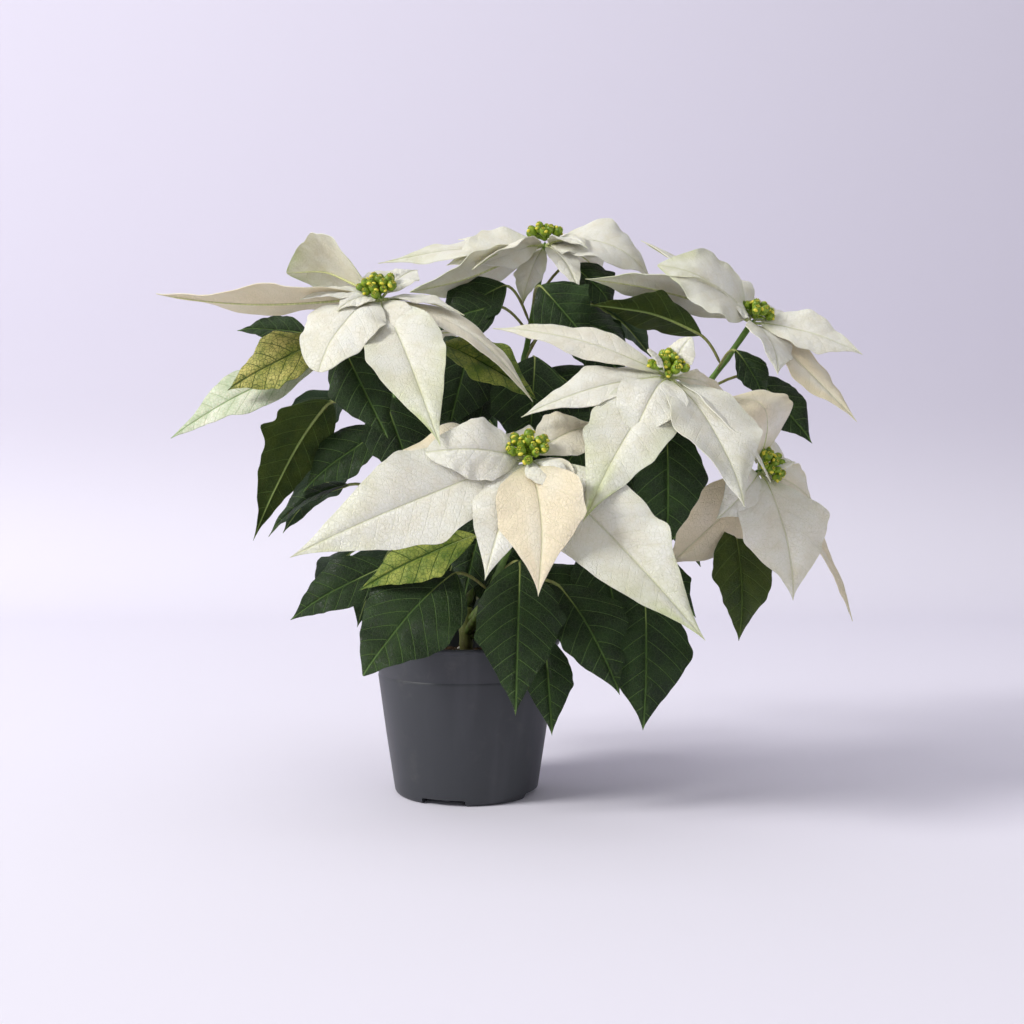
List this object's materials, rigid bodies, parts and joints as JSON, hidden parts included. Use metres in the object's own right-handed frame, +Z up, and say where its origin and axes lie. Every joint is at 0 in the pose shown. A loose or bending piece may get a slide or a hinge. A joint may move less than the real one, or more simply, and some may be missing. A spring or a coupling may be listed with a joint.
{
  "type": "potted poinsettia",
  "caption": "Cream-white poinsettia in a round plastic nursery pot: branching stems with whorls of pointed bracts over dark green leaves.",
  "frame": {"origin": "middle of the pot's underside, on the surface it stands on", "axes": "+Z up; -Y is the side the plant is seen from, +X is to its right"},
  "size_m": [0.459, 0.3523, 0.3874],
  "materials": {
    "pot_plastic": "satin moulded plastic, slate grey",
    "compost": "loose damp peat compost",
    "stem": "smooth green bark",
    "leaf": "matte dark green leaf with raised veins",
    "mottled_leaf": "yellow-green leaf turning to bract",
    "bract": "matte cream-white bract with fine veins",
    "flower_cluster": "waxy green cups with yellow glands"
  },
  "bodies": {
    "root": {"bracts_1": "bract", "bracts_2": "bract", "bracts_3": "bract", "bracts_4": "bract", "bracts_5": "bract", "bracts_6": "bract", "bracts_7": "bract", "bracts_8": "bract", "branch_1": "stem", "branch_2": "stem", "branch_3": "stem", "branch_4": "stem", "branch_5": "stem", "branch_6": "stem", "branch_7": "stem", "branch_8": "stem", "cluster_1": "flower_cluster", "cluster_2": "flower_cluster", "cluster_3": "flower_cluster", "cluster_4": "flower_cluster", "cluster_5": "flower_cluster", "cluster_6": "flower_cluster", "cluster_7": "flower_cluster", "cluster_8": "flower_cluster", "compost": "compost", "leaf_back_left": "leaf", "leaf_back_left_low": "leaf", "leaf_back_low": "leaf", "leaf_back_middle": "leaf", "leaf_back_right": "leaf", "leaf_back_right_low": "leaf", "leaf_front_centre": "leaf", "leaf_front_low": "leaf", "leaf_front_mottled": "mottled_leaf", "leaf_front_right": "leaf", "leaf_left_edge": "leaf", "leaf_left_hanging": "leaf", "leaf_left_middle": "leaf", "leaf_left_mottled": "mottled_leaf", "leaf_left_pale": "mottled_leaf", "leaf_left_small": "leaf", "leaf_low_left": "leaf", "leaf_middle": "leaf", "leaf_middle_left": "leaf", "leaf_middle_right": "leaf", "leaf_over_rim": "leaf", "leaf_right_behind": "leaf", "leaf_right_front": "leaf", "leaf_right_hanging": "leaf", "leaf_right_low": "leaf", "leaf_right_upper": "leaf", "leaf_under_head_1": "leaf", "leaf_under_head_1_right": "leaf", "leaf_under_head_2": "leaf", "leaf_under_head_2_left": "leaf", "leaf_under_head_3": "leaf", "leaf_under_head_4": "leaf", "main_stem": "stem", "pot": "pot_plastic"}
  },
  "joints": []
}
